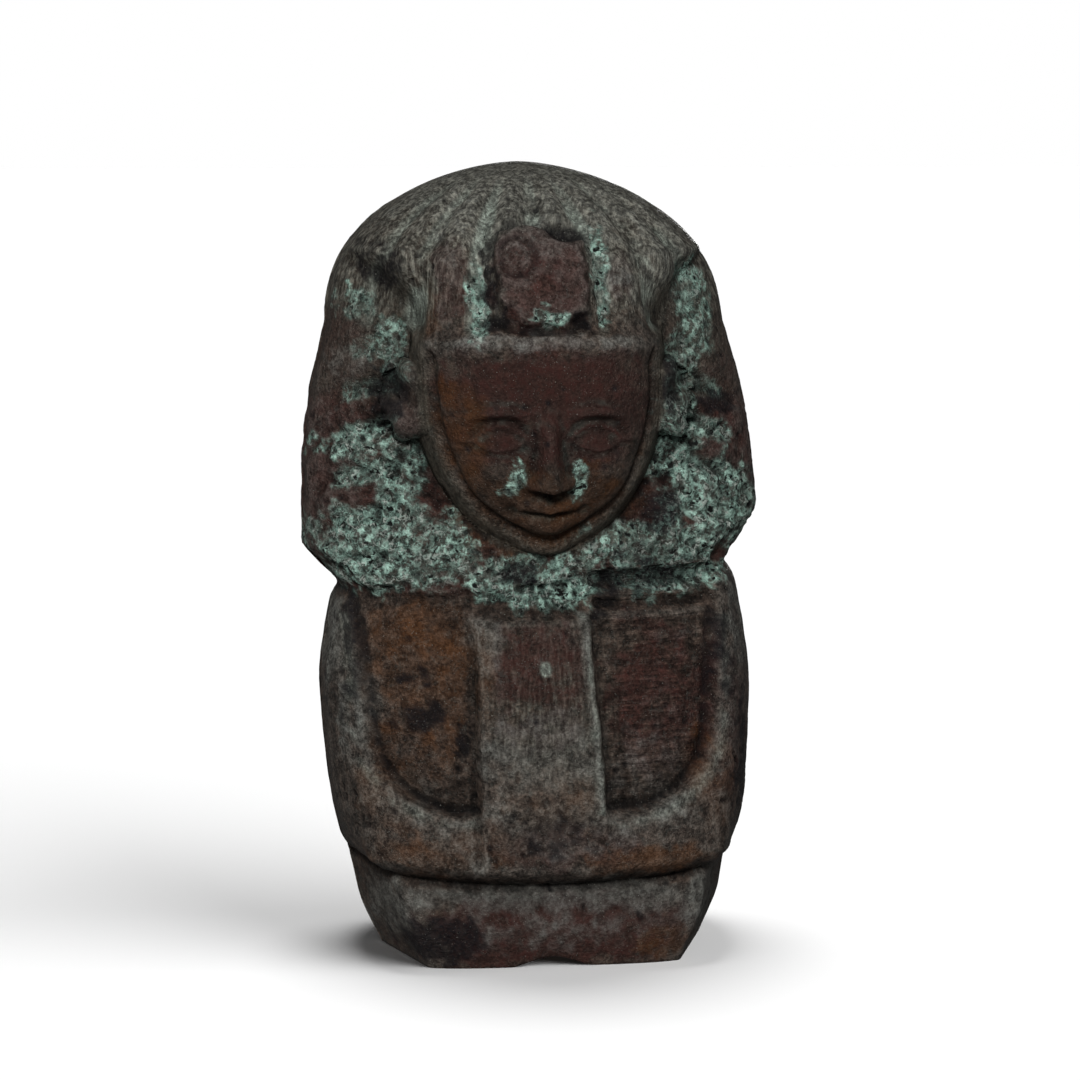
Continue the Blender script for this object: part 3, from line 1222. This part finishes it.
# The photograph's viewpoint: azimuth and elevation in degrees, lengths in millimetres
CAMERA_AZIMUTH = -7.0
CAMERA_ELEVATION = 8.0
CAMERA_DISTANCE = 330.0
AIM_HEIGHT = 40.0
FOCAL_PIXELS = 3249.0
FRAME_PIXELS = 1080.0
MIDDLE_PIXEL = (533.0, 558.6)

# Light. Suns on the floor: name, direction, strength and spread in degrees
ROOM_LIGHT = 0.13
FLOOR_SUNS = (
    ("low_sun", (0.7, -0.5, 0.6), 2.85, 55),
    ("high_sun", (-0.03, 0.15, 1.0), 1.72, 20),
)
# Lamps on the casting: name, place, the point aimed at, size and power
CASTING_LAMPS = (
    ("front_light", (-60, -300, 185), (0, 0, 32), 80, 1.0),
    ("back_light", (70, 310, 80), (0, 0, 36), 90, 0.9),
)
FLOOR_REACH = 4.0
FLOOR_WHITE = (0.9, 0.9, 0.9, 1)


def photograph_camera():
    azimuth, elevation = math.radians(CAMERA_AZIMUTH), math.radians(CAMERA_ELEVATION)
    back = Vector((math.sin(azimuth), -math.cos(azimuth), 0)) * math.cos(elevation)
    back.z = math.sin(elevation)
    data = bpy.data.cameras.new("photograph")
    data.sensor_width = 36
    data.lens = FOCAL_PIXELS / FRAME_PIXELS * data.sensor_width
    data.shift_x = 0.5 - MIDDLE_PIXEL[0] / FRAME_PIXELS
    data.shift_y = MIDDLE_PIXEL[1] / FRAME_PIXELS - 0.5
    data.clip_start = 0.01
    camera = bpy.data.objects.new("photograph", data)
    bpy.context.scene.collection.objects.link(camera)
    camera.location = (Vector((0, 0, AIM_HEIGHT)) + back * CAMERA_DISTANCE) * MM
    camera.rotation_euler = back.to_track_quat("Z", "Y").to_euler()
    bpy.context.scene.camera = camera


def soft_lamp(name, place, aim, size, power):
    data = bpy.data.lights.new(name, "AREA")
    data.shape = "DISK"
    data.size = size * MM
    data.energy = power
    lamp = bpy.data.objects.new(name, data)
    bpy.context.scene.collection.objects.link(lamp)
    lamp.location = Vector(place) * MM
    lamp.rotation_euler = (Vector(place) - Vector(aim)).to_track_quat("Z", "Y").to_euler()
    return lamp


def light_only(lamp, thing):
    """Keeps a lamp's light to one object."""
    lit = bpy.data.collections.new("lit_by_" + lamp.name)
    lit.objects.link(thing)
    lamp.light_linking.receiver_collection = lit


def floor_suns(floor):
    """Soft suns that light only the floor, for the photograph's white ground and its long shadow."""
    for name, direction, strength, spread in FLOOR_SUNS:
        data = bpy.data.lights.new(name, "SUN")
        data.energy = strength
        data.angle = math.radians(spread)
        lamp = bpy.data.objects.new(name, data)
        bpy.context.scene.collection.objects.link(lamp)
        lamp.rotation_euler = Vector(direction).to_track_quat("Z", "Y").to_euler()
        light_only(lamp, floor)


def white_room():
    """A world that looks white but lights the casting dimly."""
    world = bpy.data.worlds.new("white_room")
    world.use_nodes = True
    world.node_tree.nodes.clear()
    nodes = Nodes(world.node_tree)
    seen = nodes.add("ShaderNodeLightPath")
    strength = nodes.add("ShaderNodeMix", {"data_type": "FLOAT"}, {0: seen, 2: ROOM_LIGHT, 3: 1.0})
    room = nodes.add("ShaderNodeBackground", {}, {"Color": (1, 1, 1, 1), "Strength": strength})
    nodes.add("ShaderNodeOutputWorld", {}, {"Surface": room}, output=None)
    bpy.context.scene.world = world


def studio(casting):
    mesh = bpy.data.meshes.new("floor")
    corners = [(FLOOR_REACH * x, FLOOR_REACH * y, 0) for x, y in ((-1, -1), (1, -1), (1, 1), (-1, 1))]
    mesh.from_pydata(corners, [], [(0, 1, 2, 3)])
    mesh.materials.append(plain_material("white_floor", FLOOR_WHITE, 0.9))
    floor = bpy.data.objects.new("floor", mesh)
    bpy.context.scene.collection.objects.link(floor)
    floor.visible_diffuse = False
    floor.visible_glossy = False
    white_room()
    floor_suns(floor)
    for lamp in CASTING_LAMPS:
        light_only(soft_lamp(*lamp), casting)


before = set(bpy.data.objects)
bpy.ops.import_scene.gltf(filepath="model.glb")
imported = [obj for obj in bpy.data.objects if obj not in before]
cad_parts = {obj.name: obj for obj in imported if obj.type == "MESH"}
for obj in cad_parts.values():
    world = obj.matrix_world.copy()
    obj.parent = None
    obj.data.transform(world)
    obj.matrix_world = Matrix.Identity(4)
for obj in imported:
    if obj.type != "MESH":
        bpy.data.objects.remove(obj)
cad_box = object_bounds()
bpy.context.scene.view_settings.view_transform = "Standard"
photograph_camera()
bronze = aged_bronze()
casting = bronze_casting(bronze, cad_box)
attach(casting, "root")
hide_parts("pharaoh_figure")
studio(casting)
